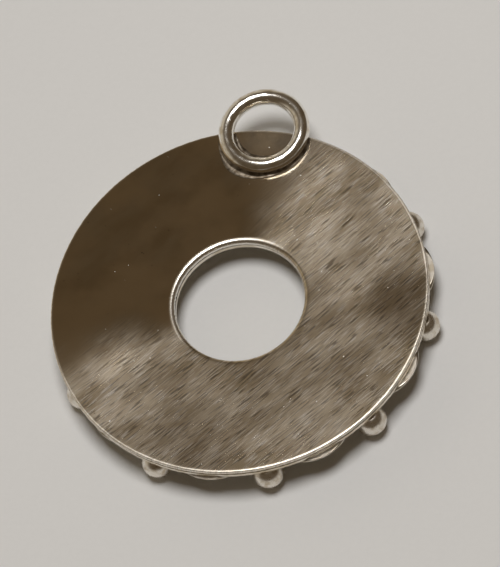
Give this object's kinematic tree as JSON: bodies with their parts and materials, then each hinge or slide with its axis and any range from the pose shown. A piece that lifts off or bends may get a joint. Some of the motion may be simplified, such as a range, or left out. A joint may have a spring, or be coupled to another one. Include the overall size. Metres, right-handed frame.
{
  "type": "round open-centred pendant frame",
  "caption": "Round metal pendant frame with a dished plain back, an open centre, leaf tips and balls round the front, and a soldered ring bail.",
  "frame": {"origin": "on the axis of the centre opening, halfway through the two sheets there", "axes": "+Z along the opening's axis, out of the plain back; +Y from the opening to the bail; the decorated front faces -Z"},
  "size_m": [0.0394, 0.0424, 0.0058],
  "materials": {
    "brushed_silver": "finely scratched, semi-polished white metal",
    "polished_silver": "polished white metal with filed edges",
    "petal_silver": "satin white metal with bright edges",
    "ball_silver": "mirror-polished white metal",
    "polished_wire": "mirror-polished round wire",
    "solder": "dull silver solder, slightly darkened"
  },
  "bodies": {
    "root": {"back_plate": "brushed_silver", "plate_solder": "solder", "front_plate": "polished_silver", "petal_01": "petal_silver", "petal_02": "petal_silver", "petal_03": "petal_silver", "petal_04": "petal_silver", "petal_05": "petal_silver", "petal_06": "petal_silver", "petal_07": "petal_silver", "petal_08": "petal_silver", "petal_09": "petal_silver", "petal_10": "petal_silver", "ball_01": "ball_silver", "ball_02": "ball_silver", "ball_03": "ball_silver", "ball_04": "ball_silver", "ball_05": "ball_silver", "ball_06": "ball_silver", "ball_07": "ball_silver", "ball_08": "ball_silver", "ball_09": "ball_silver", "ball_10": "ball_silver", "bail_ring": "polished_wire", "bail_solder": "solder"}
  },
  "joints": []
}
